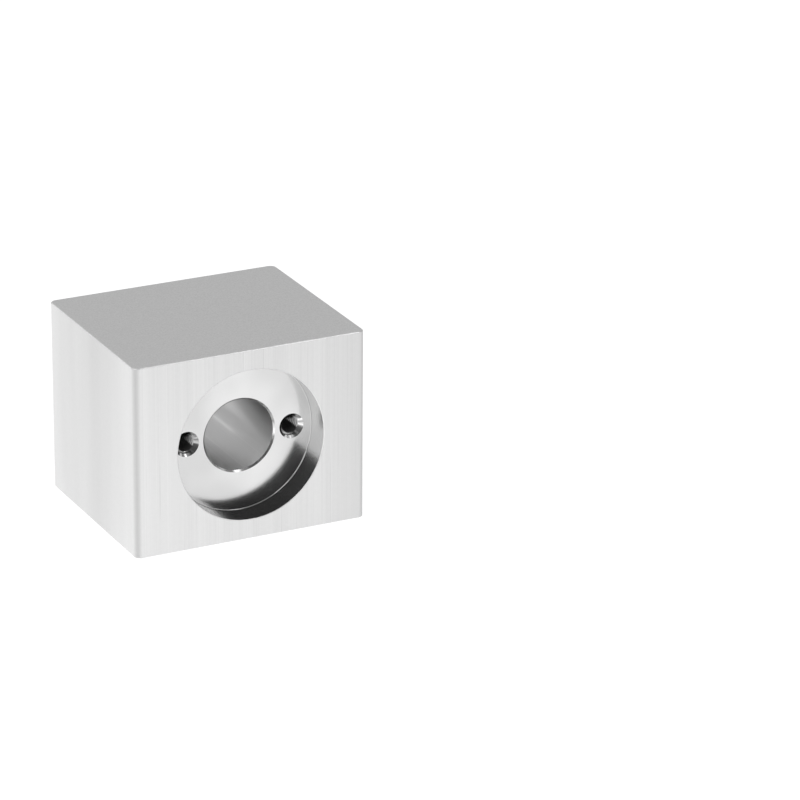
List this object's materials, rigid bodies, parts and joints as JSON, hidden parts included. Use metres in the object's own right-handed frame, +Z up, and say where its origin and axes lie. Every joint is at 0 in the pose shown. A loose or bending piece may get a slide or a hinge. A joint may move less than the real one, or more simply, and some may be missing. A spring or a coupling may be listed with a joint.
{
  "type": "lead screw nut housing",
  "caption": "Aluminium block with a recessed round seat and through bore for a flanged lead screw nut, and tapped holes in its base.",
  "frame": {"origin": "centre of the mounting face, which is the underside of the block", "axes": "+Z up from the mounting face to the blank top, the screw runs along Y, the nut's flange seat opens to -Y, X goes across"},
  "size_m": [0.035, 0.03, 0.028],
  "materials": {
    "housing_aluminium": "brushed sides, fine matt sawn and skimmed top and base, bright turned seat and bore"
  },
  "bodies": {
    "root": {"nut_housing": "housing_aluminium"}
  },
  "joints": []
}
